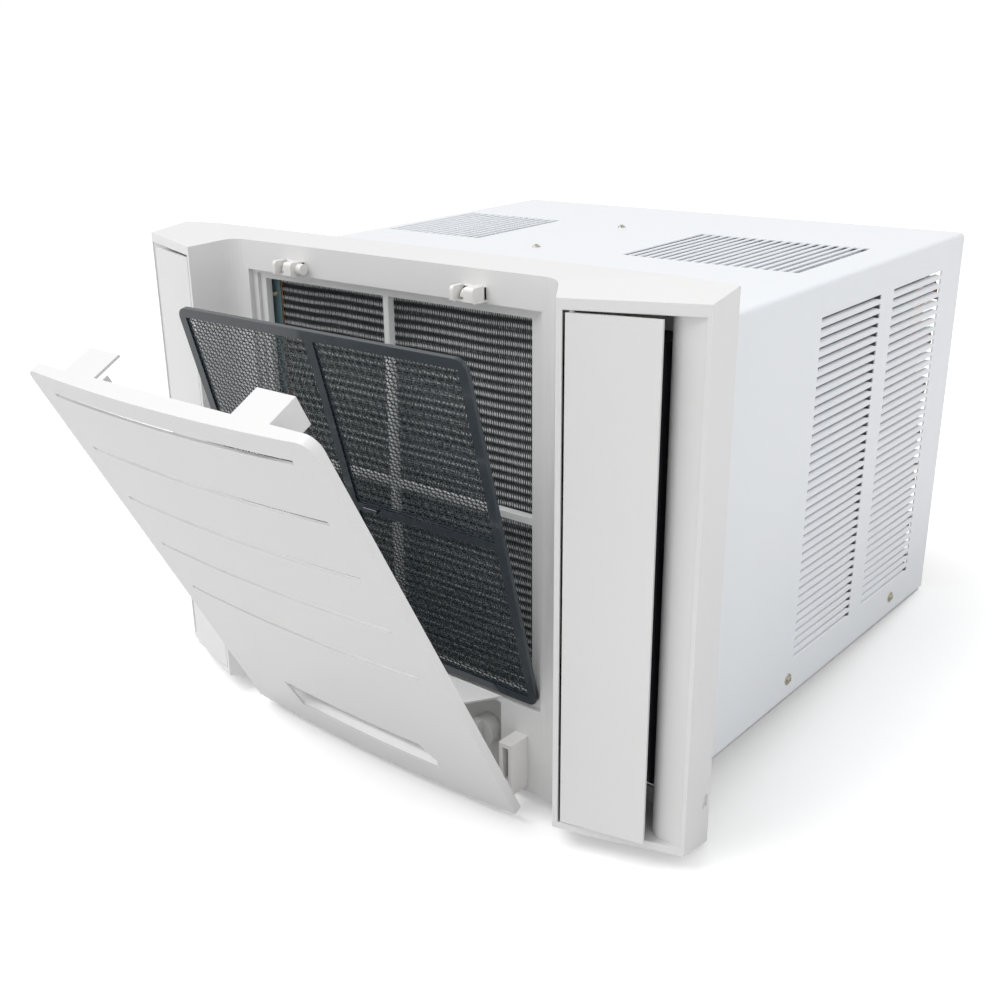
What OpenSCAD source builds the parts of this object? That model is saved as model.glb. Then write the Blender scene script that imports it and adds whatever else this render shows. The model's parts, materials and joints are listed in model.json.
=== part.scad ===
// Window air conditioner with two side outlets, front intake and swing-down intake panel.
// Millimetres. X is across the unit, Y runs from the room to outdoors, Z is up.
// The origin is on the underside of the base pan, midway across, in the plane of the case's front edge.

/* [Case] */
// Width of the steel case
case_w = 560; // [556:1:564]
// Height of the top of the case above the pan's underside
case_top = 400.3; // [398:0.1:403]
// Depth of the case from its front edge to its rear edge
case_d = 529.5; // [528:0.5:540]
// Thickness of the case steel
steel = 1.2; // [1:0.1:1.5]
// Rows of louvres in each side column
side_rows = 38; // [20:1:38]
// Open height of one side louvre
side_slot = 4.8; // [3:0.1:5]

/* [Front fascia] */
// Height of the fascia at its back edge
fascia_h = 473.7; // [472:0.1:476]
// How far the fascia hangs below the base pan
drop = 36.6; // [36:0.1:37]
// Wall thickness of the mouldings
wall = 3; // [2.6:0.1:3.2]
// Half-width of the intake opening
intake_x = 164; // [160:1:166]

/* [Intake panel] */
// Half-width of the swing-down panel
panel_x = 168.7; // [165:0.1:170]
// Height of the panel along its face
panel_h = 446.2; // [440:0.1:448]
// How far the panel's face bows forward at the middle
panel_bow = 6.1; // [4:0.1:8]
// Angle at which the open panel rests on its stop
panel_open = 28.2; // [20:0.1:30]

/* [Filter] */
// Half-width of the filter
filter_x = 168.4; // [166:0.1:169]
// Height of the filter
filter_h = 337; // [330:1:338]
// Angle at which the filter leans out
filter_lean = 15.2; // [10:0.1:16]

/* [Outlets] */
// Length of each vertical flap from its hinge edge to its free edge
flap_len = 72.8; // [60:0.1:73]
// Angle of the flaps at rest, forward of the line of the wing's face
flap_out = 5.5; // [0:0.5:8]
// Number of deflector vanes in each duct
vane_count = 3; // [3:1:3]
// Spacing of the deflector vanes
vane_pitch = 106; // [90:1:110]

/* [Fan] */
// Radius of the blower wheel
blower_r = 108; // [100:1:112]
// Radius of the axial fan's slinger ring
fan_r = 140; // [130:1:141]
// Shaft radius
shaft_r = 5; // [4:0.5:5]

/* [Hidden] */
$fn = 48;

eps = 0.5;                    // overshoot of a cutting shape
gap = 0.3;                    // space between pieces that move past each other
run_fit = 0.06;               // radial clearance of a running pin
half_w = case_w / 2;
case_bottom = 4;
bend = 6;                     // outer radius of the case's folded top edges
fold_z = case_top - bend;     // height at which the case's sides end and its folds begin
inlet = [170, 100];           // power cord's inlet in the left side (y, z)
inner_w = half_w - steel;     // half-width inside the case
pan_t = 1.5;
pan_wall = 34;
pan_x = inner_w - gap;
pan_front = -20;
pan_back = case_d - 3;
shaft_z = 200;                // height of the fan shaft
hole_x = 200;                 // support bolt holes in the pan
hole_y = [200, 440];
hole_r = 3.5;

// Plan of the fascia, right half
back_x = 314;                 // half-width at the back edge
wing_out = [317.3, -43.3];    // outer front corner of a wing
wing_in = [211.6, -79.7];     // inner front corner of a wing
bay_y = -43;                  // face of the centre bay
cove_r = 28;                  // radius where the wing's side meets the bay
cove_dir = atan2(22.7, -14.6);
wing_angle = atan2(wing_out[1] - wing_in[1], wing_out[0] - wing_in[0]);
wing_w = norm(wing_out - wing_in);
wing_top = 465.4;             // top and bottom edges of a wing's face, above the fascia's lowest edge
wing_bottom = 14;
vent_z = [21, 457];           // outlet opening
strip = 4.6;                  // width of the strip between the wing's corner and the outlet
bay_slope_top = 4.26;
bay_slope_bottom = 11.3;

intake_z = [97, 440];
rebate_x = 171;
rebate_z = [93.5, 443.5];
rebate_y = -38.4;

jamb_c = [295, -30];          // centre of the rounded outer jamb
jamb_r = 14;
duct_x = [219, 274];          // inside width of an outlet duct
duct_y = [-34, 40];
duct_z = [66, 430];
duct_t = 2;

flap_pin = [220.1, -72.0];
flap_pin_r = 2;
flap_front = 4.5;             // face of the flap in front of its pin
flap_t = 3.5;
flap_z = [22.3, 454.6];
pin_len = 3.5;

vane_y = -14;                 // pivot line of the vanes
vane_z0 = 120;                // height of the lowest vane above the fascia's lowest edge
vane_chord = 34;
vane_t = 2.4;
vane_arm = 12;                // from a vane's pivot to its link pin
link_w = 3;

hinge = [-60, 25.2];          // panel hinge line (y, z) above the fascia's lowest edge
hinge_back = 22;              // hinge line behind the panel's face, along the panel's depth
hinge_up = 9.5;               // hinge line above the panel's bottom edge
hinge_r = 2.5;
bracket_x = [144, 157.6];
slot_x = [148, 154];
filter_pin = [-41.2, 99.8];
filter_t = 4;
knob_at = [106, 52];
coil_x = 148;                 // half-width of the evaporator's fin pack
coil_z = [54.9, 396];
housing_y = [40, 150];
cond_x = 250;
cond_y = [487, 515];
cond_z = [pan_t, 384];
comp_at = [-150, 300];
accu_at = [-216, 352];

// Points of an arc about c from angle a to angle b
function arc(c, r, a, b, n = 6) = [for (i = [0:n]) c + r * [cos(a + (b - a) * i / n), sin(a + (b - a) * i / n)]];
function meet(p, d, q, e) = p + d * cross(q - p, e) / cross(d, e);
function turned(v) = [-v[1], v[0]];
function unit(v) = v / norm(v);

// Half outline of the fascia in plan, moved inward by t
function fascia_half(t, back) =
  let (
    face = unit(wing_out - wing_in),
    side = unit([back_x, 0] - wing_out),
    flank = [cos(cove_dir), sin(cove_dir)],
    face_p = wing_in + t * turned(face),
    side_p = wing_out + t * turned(side),
    flank_p = wing_in - t * turned(flank),
    bay_p = [0, bay_y + t],
    knee = meet(flank_p, flank, bay_p, [1, 0]),
    r = cove_r + t,
    reach = r * tan((180 - cove_dir) / 2),
    centre = [knee[0] - reach, bay_y + t - r]
  )
  concat(
    [cut_x_y(side_p, side, back)],
    [meet(face_p, face, side_p, side), meet(face_p, face, flank_p, flank)],
    arc(centre, r, cove_dir - 90, 90)
  );
function cut_x_y(p, d, y) = p + d * (y - p[1]) / d[1];
function mirrored(pts) = [for (i = [len(pts) - 1:-1:0]) [-pts[i][0], pts[i][1]]];

module at_fascia() { translate([0, 0, -drop]) children(); }
module left() { mirror([1, 0, 0]) children(); }
module box(x, y, z) { translate([x[0], y[0], z[0]]) cube([x[1] - x[0], y[1] - y[0], z[1] - z[0]]); }
module rod_x(x, y, z, r) { translate([x[0], y, z]) rotate([0, 90, 0]) cylinder(r = r, h = x[1] - x[0]); }
module rod_y(x, y, z, r) { translate([x, y[1], z]) rotate([90, 0, 0]) cylinder(r = r, h = y[1] - y[0]); }
module rod_z(x, y, z, r) { translate([x, y, z[0]]) cylinder(r = r, h = z[1] - z[0]); }

// A pipe's route with every corner rounded over a length of reach
function rounded(p, reach) = concat(
  [p[0]],
  [for (i = [1:len(p) - 2])
     let (a = p[i] + reach * unit(p[i - 1] - p[i]), b = p[i] + reach * unit(p[i + 1] - p[i]))
     for (t = [0:0.25:1]) (1 - t) * (1 - t) * a + 2 * t * (1 - t) * p[i] + t * t * b],
  [p[len(p) - 1]]);
function tangents(q) = let (n = len(q) - 1) [for (i = [0:n]) unit(q[min(i + 1, n)] - q[max(i - 1, 0)])];
function normals(t, u, i = 0) =
  i == len(t) ? [] : let (n = unit(u - (u * t[i]) * t[i])) concat([n], normals(t, n, i + 1));

// Round bar swept along a route
module swept(q, r, sides = 10) {
  t = tangents(q);
  u = normals(t, abs(t[0][2]) < 0.9 ? [0, 0, 1] : [1, 0, 0]);
  rings = [for (i = [0:len(q) - 1], j = [0:sides - 1])
    q[i] + r * (cos(360 * j / sides) * u[i] + sin(360 * j / sides) * cross(t[i], u[i]))];
  walls = [for (i = [0:len(q) - 2], j = [0:sides - 1])
    let (k = (j + 1) % sides) [i * sides + j, (i + 1) * sides + j, (i + 1) * sides + k, i * sides + k]];
  last = (len(q) - 1) * sides;
  polyhedron(rings, concat(walls, [[for (j = [0:sides - 1]) j]], [[for (j = [sides - 1:-1:0]) last + j]]));
}
module pipe(pts, r, reach) { swept(rounded(pts, reach), r); }

module base_pan() color("silver") difference() {
  union() {
    box([-pan_x, pan_x], [0, pan_back], [0, pan_t]);
    box([-165, 165], [pan_front, 2], [pan_t, 2 * pan_t]);
    for (s = [-1, 1])
      box([s * pan_x - (s > 0 ? pan_t : 0), s * pan_x + (s > 0 ? 0 : pan_t)], [1, pan_back], [0, pan_wall]);
    box([-pan_x, pan_x], [pan_back - pan_t, pan_back], [0, 24]);
    for (y = [175, 395]) box([-230, 230], [y, y + 12], [pan_t, pan_t + 4]);
  }
  for (x = [-hole_x, hole_x], y = hole_y) rod_z(x, y, [-eps, 10], hole_r);
  for (s = [-1, 1], y = [202.9, 438.6]) rod_x([s * pan_x - 4, s * pan_x + 4], y, 22.6, 2.1);
  rod_y(-120, [pan_back - 4, pan_back + 4], 12, 7);
}

module case_section(inset) {
  w = half_w - inset;
  top = case_top - inset;
  r = bend - inset;
  low = case_bottom - (inset > 0 ? eps : 0);
  polygon(concat([[w, low]], arc([w - r, top - r], r, 0, 90), arc([r - w, top - r], r, 90, 180), [[-w, low]]));
}

module along_y(y0, y1) { translate([0, y1, 0]) rotate([90, 0, 0]) linear_extrude(y1 - y0) children(); }

// Top of the case with its folded edges
module case_top_panel() color("whitesmoke") difference() {
  along_y(0, case_d) intersection() {
    difference() {
      case_section(0);
      case_section(steel);
    }
    translate([-half_w, fold_z]) square([case_w, bend]);
  }
  for (i = [0:18]) box([57.7, 64.3] + [1, 1] * i * 9.89, [236, 388], [case_top - 4, case_top + 4]);
  for (i = [0:12]) box([-261.8, -255.2] + [1, 1] * i * 10.37, [242, 392], [case_top - 4, case_top + 4]);
  for (y = [229, 383.8]) rod_z(-41, y, [case_top - 4, case_top + 4], 2.1);
}

// Side of the case, with its two columns of louvre openings
module case_side() difference() {
  box([inner_w, half_w], [0, case_d], [case_bottom, fold_z]);
  louvre_step = (369.6 - 40.9 - side_slot) / (side_rows - 1);
  for (col = [[210.2, 332.1], [360.9, 476.9]], i = [0:side_rows - 1])
    box([half_w - 4, half_w + 4], col, [40.9, 40.9 + side_slot] + [1, 1] * i * louvre_step);
  for (y = [202.9, 438.6]) rod_x([half_w - 4, half_w + 4], y, 22.6, 2.1);
}
module case_right() color("whitesmoke") case_side();
module case_left() color("whitesmoke") difference() {
  left() case_side();
  rod_x([-half_w - 4, -half_w + 4], inlet[0], inlet[1], 8);
}

module rear_guard() color("silver") {
  y = [519, 521];
  difference() {
    intersection() {
      along_y(518, 522) case_section(steel);
      box([-300, 300], [510, 530], [pan_wall + 1, 420]);
    }
    box([-271, 271], [517, 523], [pan_wall + 8, 391]);
  }
  for (i = [1:17]) box([-1, 1] + [1, 1] * (i * 544 / 18 - 272), y, [pan_wall + 6, 393]);
  for (i = [1:5]) box([-273, 273], [518.5, 521.5], [-1.5, 1.5] + [1, 1] * (26 + i * 368 / 6));
}

module pan_head(r) {
  cylinder(r = r, h = 1.2);
  translate([0, 0, 1.2]) cylinder(r1 = r * 0.7, r2 = r * 0.55, h = 1.6);
}

module side_screws() color("khaki")
  for (s = [-1, 1], y = [202.9, 438.6]) {
    rod_x([s > 0 ? half_w - 8 : -half_w, s > 0 ? half_w : 8 - half_w], y, 22.6, 2);
    translate([s * half_w, y, 22.6]) rotate([0, s * 90, 0]) pan_head(5.8);
  }

module top_screws() color("khaki")
  for (y = [229, 383.8]) {
    rod_z(-41, y, [case_top - 9, case_top], 2);
    translate([-41, y, case_top]) pan_head(4.2);
  }

// Brace under the top of the case, from the bulkhead to the condenser shroud
module top_brace() color("silver") difference() {
  union() {
    box([-55, -27], [151.2, 470], [case_top - steel - 1.5, case_top - steel]);
    for (y = [[151.2, 152.7], [468.5, 470]]) box([-55, -27], y, [378, case_top - steel]);
  }
  for (y = [229, 383.8]) rod_z(-41, y, [390, 400], 2);
}

// Half-space above (or below) a plane that slopes with x and y
module slope_cut(at, fall, swing, above = true) {
  translate(at) rotate([0, 0, swing]) rotate([fall, 0, 0])
    translate([-500, -500, above ? 0 : -200]) cube([1000, 1000, 200]);
}

module fascia_block(t, back) {
  half = fascia_half(t, back);
  difference() {
    translate([0, 0, t]) linear_extrude(fascia_h - 2 * t) polygon(concat(half, mirrored(half)));
    slope_cut([0, 0, fascia_h - t], bay_slope_top, 0);
    slope_cut([0, 0, t], -bay_slope_bottom, 0, false);
    for (s = [0, 1]) mirror([s, 0, 0]) {
      slope_cut([262, 0, fascia_h - t], 7.9, 16.05);
      slope_cut([262, 0, t], -13.4, 19, false);
    }
  }
}

module at_wing() { translate(wing_in) rotate([0, 0, wing_angle]) children(); }

module jamb() {
  front = jamb_c[1] - jamb_r;
  outer = concat([[315.2, front + 0.4]], arc(jamb_c, jamb_r, 270, 180, 10), [[281, -1]]);
  inner = concat([[283, -1]], arc(jamb_c, jamb_r - 2, 180, 270, 10), [[315.2, front + 2]]);
  translate([0, 0, vent_z[0] - 1]) linear_extrude(vent_z[1] - vent_z[0] + 2) polygon(concat(outer, inner));
}

module outlet_slabs() intersection() {
  union() {
    box([205, 316], [-82, -1], [10, vent_z[0] + eps]);
    box([205, 316], [-82, -1], [vent_z[1] - eps, 470]);
  }
  fascia_block(0.4, 0);
}

module filter_ledge() {
  difference() {
    box([-rebate_x - 3, rebate_x + 3], [bay_y + 1, rebate_y + wall], [rebate_z[0] - 3, rebate_z[1] + 3]);
    box([-rebate_x, rebate_x], [bay_y - 1, rebate_y], rebate_z);
    box([-intake_x, intake_x], [-50, -30], intake_z);
  }
}

// Sloping visor over the controls, and the side walls of their recess
module control_hood() {
  translate([0, bay_y + 1, 95]) rotate([33, 0, 0]) translate([0, 0, -2.5])
    linear_extrude(2.5) polygon([[-128, 0], [128, 0], [98, -19], [-98, -19]]);
  for (s = [-1, 1]) box([s * 128.8 - 1.3, s * 128.8 + 1.3], [bay_y + 1, -29.8], [12, 90]);
}

module fascia() color("gainsboro") at_fascia() difference() {
  union() {
    difference() {
      fascia_block(0, 0);
      fascia_block(wall, eps);
      for (s = [0, 1]) mirror([s, 0, 0])
        at_wing() box([strip, wing_w - 3.2], [-2, wall + 1], vent_z);
      box([-rebate_x, rebate_x], [bay_y - 1, bay_y + wall + 1], rebate_z);
      box([-127.5, 127.5], [bay_y - 1, bay_y + wall + 1], [13, 89]);
    }
    for (s = [0, 1]) mirror([s, 0, 0]) {
      jamb();
      outlet_slabs();
    }
    filter_ledge();
    control_hood();
    difference() {
      intersection() {
        box([-320, 320], [-3, 0], [0, fascia_h]);
        fascia_block(0, 0);
      }
      for (x = [[-308, -286], [-277, 277], [286, 308]]) box(x, [-4, 1], [36, 433]);
    }
  }
  for (s = [-1, 1]) {
    rod_z(s * flap_pin[0], flap_pin[1], [vent_z[0] - 4, vent_z[0] + 1], flap_pin_r + run_fit);
    rod_z(s * flap_pin[0], flap_pin[1], [vent_z[1] - 1, vent_z[1] + 4], flap_pin_r + run_fit);
    box([s * 316 - 4, s * 316 + 4], [-13, -4], [42, 53]);
  }
}

module intake_grid() color("white") at_fascia() {
  difference() {
    box([-170, 170], [-35.4, -28], intake_z + [-6, 6]);
    box([-156, 156], [-40, -20], [103, 435]);
  }
  box([-5, 1.5], [-35.4, -28], [102, 436]);
  box([-157, 157], [-35.4, -28], [262, 269]);
}

module in_filter() {
  translate([0, filter_pin[0], filter_pin[1]]) rotate([filter_lean, 0, 0]) translate([0, -2, -1.5]) children();
}

module filter_plate(x, z0, z1, y0, y1, r) {
  intersection() {
    box([-x, x], [y0, y1], [z0, z1]);
    union() {
      for (sx = [-1, 1], z = [z0 + r, z1 - r]) rod_y(sx * (x - r), [y0, y1], z, r);
      box([r - x, x - r], [y0, y1], [z0, z1]);
      box([-x, x], [y0, y1], [z0 + r, z1 - r]);
    }
  }
}

module filter_frame() color("darkslategray") at_fascia() in_filter() {
  difference() {
    filter_plate(filter_x, 0, filter_h, 0, filter_t, 11);
    for (sx = [-1, 1], z = [[9, 164], [173, 328]])
      box(sx > 0 ? [4.5, filter_x - 9] : [9 - filter_x, -4.5], [-1, filter_t + 1], z);
  }
  for (x = [-21, 21]) rod_x([x - 8, x + 8], -1, 168.5, 1.8);
}

module filter_mesh() color("dimgray") at_fascia() in_filter()
  for (sx = [-1, 1], z = [[9, 164], [173, 328]])
    box(sx > 0 ? [4.5, filter_x - 9] : [9 - filter_x, -4.5], [1.6, 2.4], z);

// Coordinates of the open panel: x across, y back from its face's edges, z up its face
module in_panel() {
  translate([0, hinge[0], hinge[1]]) rotate([panel_open, 0, 0]) translate([0, -hinge_back, -hinge_up]) children();
}
function bow_y(x, t) = t - panel_bow * (1 - pow(x / panel_x, 2));
function bow_line(w, t, n = 16) = [for (i = [0:n]) let (x = -w + 2 * w * i / n) [x, bow_y(x, t)]];

// Front view of the panel, square below and rounded above, drawn in by t
module panel_outline(t, r) {
  x = panel_x - t;
  top = panel_h - t;
  for (s = [-1, 1]) rod_y(s * (x - r), [-20, 30], top - r, r);
  box([r - x, x - r], [-20, 30], [top - 2 * r, top]);
  box([-x, x], [-20, 30], [t, top - r]);
}
module panel_slab(t, r, back) {
  intersection() {
    linear_extrude(panel_h) polygon(concat(bow_line(panel_x, t), [[panel_x, back], [-panel_x, back]]));
    panel_outline(t, r);
  }
}

module grille_panel() color("gainsboro") at_fascia() in_panel() {
  difference() {
    panel_slab(0, 12, 8.5);
    panel_slab(2.4, 9.6, 10);
    for (i = [0:4]) box([-142.5, 142.5], [-8, 8], [0, 4.2] + [1, 1] * (183.6 + i * 59.8));
    along_y(-8, 8) polygon([[-84, 71], [88, 66.5], [101, 46], [95, 32], [-77, 37]]);
  }
  // Scoop behind the lower opening: it slopes back and down from the opening's top edge
  intersection() {
    panel_slab(1, 11, 10);
    translate([-92, 0, 0]) rotate([90, 0, 90])
      linear_extrude(200) polygon([[-8, 76], [0.6, 76], [9.8, 39], [7.4, 39], [-1.2, 73.6], [-8, 73.6]]);
  }
  for (s = [-1, 1]) {
    box([s * 102 - 20, s * 102 + 20], [2, 37], [panel_h - 2.5, panel_h]);
    box([s * 151 - 2.7, s * 151 + 2.7], [1, hinge_back], [hinge_up - 5, hinge_up + 5]);
    rod_x([s * 151 - 2.7, s * 151 + 2.7], hinge_back, hinge_up, 5);
    rod_x([s * 151 - 6.5, s * 151 + 6.5], hinge_back, hinge_up, hinge_r);
  }
  for (x = [82, 120]) box([x, x + 2], [2, 37], [panel_h - 26, panel_h]);
  box([-76, -74], [2, 16], [panel_h - 9, panel_h - 2]);
}

module hinge_bracket() difference() {
  box(bracket_x, [-67, bay_y], [15.5, 66.5]);
  box(slot_x, [-70, -47], [14, 62]);
  rod_x([140, 160], hinge[0], hinge[1], hinge_r + run_fit);
}
module hinge_bracket_right() color("lightgray") at_fascia() hinge_bracket();
module hinge_bracket_left() color("lightgray") at_fascia() left() hinge_bracket();

module latch() {
  box([92, 118], [bay_y - 5, bay_y], [445, 458]);
  box([92, 118], [-60, bay_y - 4], [445, 447.5]);
  intersection() {
    box([92, 118], [-60, bay_y], [445, 458]);
    for (x = [[92, 98], [110, 118]]) difference() {
      rod_x(x, -50, 450, 9.5);
      rod_x([x[0] - 1, x[1] + 1], -50, 456, 4);
    }
  }
}
module latch_right() color("white") at_fascia() latch();
module latch_left() color("white") at_fascia() translate([-210, 0, 0]) {
  latch();
  rod_x([117.5, 124], -52, 451, 5);
}

module in_flap() {
  translate([flap_pin[0], flap_pin[1], 0]) rotate([0, 0, wing_angle - flap_out]) children();
}
module flap() {
  in_flap() {
    box([-3.3, flap_len - 3.3], [-flap_front, flap_t - flap_front], flap_z);
    rod_z(0, 0, flap_z, 3);
    box([-3, 3], [-2, 0], flap_z);
  }
  rod_z(flap_pin[0], flap_pin[1], [flap_z[0] - 1, flap_z[1] + 1] + [-pin_len + 1, pin_len], flap_pin_r);
}
module flap_right() color("gainsboro") at_fascia() flap();
module flap_left() color("gainsboro") at_fascia() left() flap();

module duct() difference() {
  box(duct_x + [-duct_t, duct_t], duct_y, duct_z + [-duct_t, duct_t]);
  box(duct_x, [duct_y[0] - 1, duct_y[1] + 1], duct_z);
  for (i = [0:vane_count - 1])
    rod_x(duct_x + [-5, 5], vane_y, vane_z0 + i * vane_pitch, flap_pin_r + run_fit);
}
module duct_right() color("dimgray") at_fascia() duct();
module duct_left() color("dimgray") at_fascia() left() duct();

module vane(i) {
  z = vane_z0 + i * vane_pitch;
  notch = [duct_x[0] + 3, duct_x[0] + 3 + link_w + 2 * gap];
  difference() {
    box(duct_x + [gap, -gap], [-0.5, 0.5] * vane_chord + [1, 1] * vane_y, [-0.5, 0.5] * vane_t + [1, 1] * z);
    box(notch, [vane_y + 5, vane_y + 30], [z - 5, z + 5]);
  }
  rod_x(duct_x + [-1.8, 1.8], vane_y, z, flap_pin_r);
  rod_x(notch + [-1, 1], vane_y + vane_arm, z, 1.5);
}
module link() {
  x = [duct_x[0] + 3 + gap, duct_x[0] + 3 + gap + link_w];
  difference() {
    box(x, [-5, 5] + [1, 1] * (vane_y + vane_arm), [vane_z0 - 6, vane_z0 + (vane_count - 1) * vane_pitch + 6]);
    for (i = [0:vane_count - 1])
      box(x + [-1, 1], [vane_y + vane_arm - 3.2, vane_y + vane_arm + 2.6],
          [-1.8, 1.8] + [1, 1] * (vane_z0 + i * vane_pitch));
  }
}
module vane_right_1() color("gray") at_fascia() vane(0);
module vane_right_2() color("gray") at_fascia() vane(1);
module vane_right_3() color("gray") at_fascia() vane(2);
module vane_left_1() color("gray") at_fascia() left() vane(0);
module vane_left_2() color("gray") at_fascia() left() vane(1);
module vane_left_3() color("gray") at_fascia() left() vane(2);
module link_right() color("dimgray") at_fascia() link();
module link_left() color("dimgray") at_fascia() left() link();

module control_plate() color("lightgray") at_fascia() difference() {
  box([-127.5, 127.5], [-32, -30], [12.5, 89.5]);
  for (s = [-1, 1]) rod_y(s * knob_at[0], [-33, -29], knob_at[1], 3 + run_fit);
  box([-16, 16], [-33, -29], [49, 55]);
}
module knob(s) {
  rod_y(s * knob_at[0], [-46, -32.4], knob_at[1], 14);
  box([s * knob_at[0] - 2.5, s * knob_at[0] + 2.5], [-53, -45], [knob_at[1] - 13, knob_at[1] + 13]);
  rod_y(s * knob_at[0], [-33, -29.3], knob_at[1], 3);
}
module knob_mode() color("silver") at_fascia() knob(-1);
module knob_thermostat() color("silver") at_fascia() knob(1);
module vent_lever() color("silver") at_fascia() {
  box([-3, 3], [-46, -29.4], [50, 54]);
  box([-3, 3], [-29.4, -28.4], [47, 57]);
}
module control_box() color("silver") at_fascia() difference() {
  box([-125, 125], [-27.9, 34], [39.6, 88]);
  box([-123.8, 123.8], [-29, 32.8], [40.8, 86.8]);
}
module mode_switch() color("ivory") at_fascia() box([-122, -90], [-27.8, 0], [40.8, 70]);
module thermostat() color("silver") at_fascia() box([90, 122], [-27.8, -2], [40.8, 70]);
module capacitor() color("lightsteelblue") at_fascia() rod_x([-40, 40], 10, 60.8, 20);

module evaporator_fins() color("slategray") difference() {
  box([-coil_x, coil_x], [-24, 20], coil_z);
  for (i = [0:4]) box([-coil_x - 1, coil_x + 1], [-25, -23.5], [-1, 1] + [1, 1] * (coil_z[0] + 40 + i * 64));
}

// Upright U-bend of tube radius r and half-spacing h, its ends on the plane x and its crown toward side s
module u_bend(x, y, z, h, r, s) {
  translate([x, y, z]) rotate([90, 0, s > 0 ? 0 : 180]) rotate([0, 0, -90])
    rotate_extrude(angle = 180) translate([h, 0]) circle(r = r, $fn = 24);
}

module evaporator_tubes() color("peru") {
  for (s = [-1, 1]) {
    box(s > 0 ? [coil_x, coil_x + 1.5] : [-coil_x - 1.5, -coil_x], [-24, 20], coil_z);
    for (y = [-13, 9], i = [0:5]) {
      z = coil_z[0] + 30 + i * 55 + (s > 0 ? 0 : 6);
      u_bend(s * (coil_x + 1.5), y, z, 12.5, 4.5, s);
    }
  }
}
module drip_tray() color("white") at_fascia() difference() {
  box([-160, 160], [-27.5, 38], [88, 96]);
  box([-157, 157], [-24.5, 35], [91.5, 97]);
}

module blower_housing() color("white") difference() {
  box([-276, 276], housing_y, [26, 397]);
  box([-273, 273], housing_y + [4, -4], [29, 394]);
  rod_y(0, [housing_y[0] - 1, housing_y[0] + 5], shaft_z, 92);
  rod_y(0, [housing_y[1] - 5, housing_y[1] + 1], shaft_z, 12);
  for (s = [-1, 1])
    box(s > 0 ? duct_x : [-duct_x[1], -duct_x[0]], [housing_y[0] - 1, housing_y[0] + 5], duct_z - [1, 1] * drop);
}
module blower_scroll() color("ivory") difference() {
  rod_y(0, housing_y + [4, -4], shaft_z, 126);
  rod_y(0, housing_y, shaft_z, 122);
  box([-140, 140], housing_y, [shaft_z - 62, shaft_z + 62]);
}
module blower_wheel() color("dimgray") {
  difference() {
    union() {
      rod_y(0, [122, 124.5], shaft_z, blower_r);
      rod_y(0, [100, 124], shaft_z, 14);
    }
    rod_y(0, [90, 130], shaft_z, shaft_r);
  }
  difference() {
    rod_y(0, [54, 58], shaft_z, blower_r);
    rod_y(0, [53, 59], shaft_z, blower_r - 14);
  }
  for (i = [0:35]) translate([0, 0, shaft_z]) rotate([0, i * 10, 0])
    translate([blower_r - 7, 57, 0]) rotate([0, 35, 0]) box([-6.5, 6.5], [0, 65.5], [-0.6, 0.6]);
}
module fan_shaft() color("silver") rod_y(0, [98, 470], shaft_z, shaft_r);
module axial_fan() color("dimgray") {
  difference() {
    rod_y(0, [436, 466], shaft_z, 32);
    rod_y(0, [430, 470], shaft_z, shaft_r);
  }
  difference() {
    rod_y(0, [444, 458], shaft_z, fan_r);
    rod_y(0, [443, 459], shaft_z, fan_r - 3);
  }
  for (i = [0:5]) translate([0, 451, shaft_z]) rotate([0, i * 60, 0]) intersection() {
    rotate([24, 0, 0]) box([30, fan_r - 2], [-1.2, 1.2], [-36, 36]);
    rod_y(0, [-20, 20], 0, fan_r - 1.5);
  }
}
module fan_motor() color("gray") difference() {
  union() {
    rod_y(0, [222, 308], shaft_z, 62);
    rod_y(0, [212, 318], shaft_z, 40);
    rod_y(0, [206, 324], shaft_z, 14);
  }
  rod_y(0, [200, 330], shaft_z, shaft_r + run_fit);
}
module motor_stand() color("silver") difference() {
  union() {
    box([-70, 70], [255, 257.5], [pan_t, 170]);
    box([-70, 70], [240, 275], [pan_t, pan_t + 2]);
    rod_y(0, [250, 280], shaft_z, 64);
  }
  rod_y(0, [240, 290], shaft_z, 62);
  box([-100, 100], [230, 300], [260, 300]);
}
module bulkhead() color("silver") difference() {
  box([-inner_w + gap, inner_w - gap], [150, 151.2], [pan_t, 397]);
  box([-300, -pan_x + pan_t + gap], [149, 153], [0, pan_wall + gap]);
  box([pan_x - pan_t - gap, 300], [149, 153], [0, pan_wall + gap]);
  rod_y(0, [149, 153], shaft_z, 12);
  rod_y(-176, [149, 153], 14, 7);
  rod_y(-196, [149, 153], 10, 4);
}

module condenser_fins() color("silver") box([-cond_x, cond_x], cond_y, cond_z);
module condenser_tubes() color("peru")
  for (s = [-1, 1]) {
    box(s > 0 ? [cond_x, cond_x + 1.5] : [-cond_x - 1.5, -cond_x], cond_y, cond_z);
    for (y = [494, 508], i = [0:6])
      u_bend(s * (cond_x + 1.5), y, cond_z[0] + 30 + i * 52 + (s > 0 ? 0 : 5), 11, 4, s);
  }
module condenser_shroud() color("silver") difference() {
  union() {
    box([-248, 248], [470, 471.5], [pan_t, 392]);
    rod_y(0, [438, 471], shaft_z, 147);
    for (s = [-1, 1]) box([s * 247 - 1, s * 247 + 1], [470, 487], [pan_t, 392]);
  }
  rod_y(0, [430, 480], shaft_z, 144.5);
}

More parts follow.
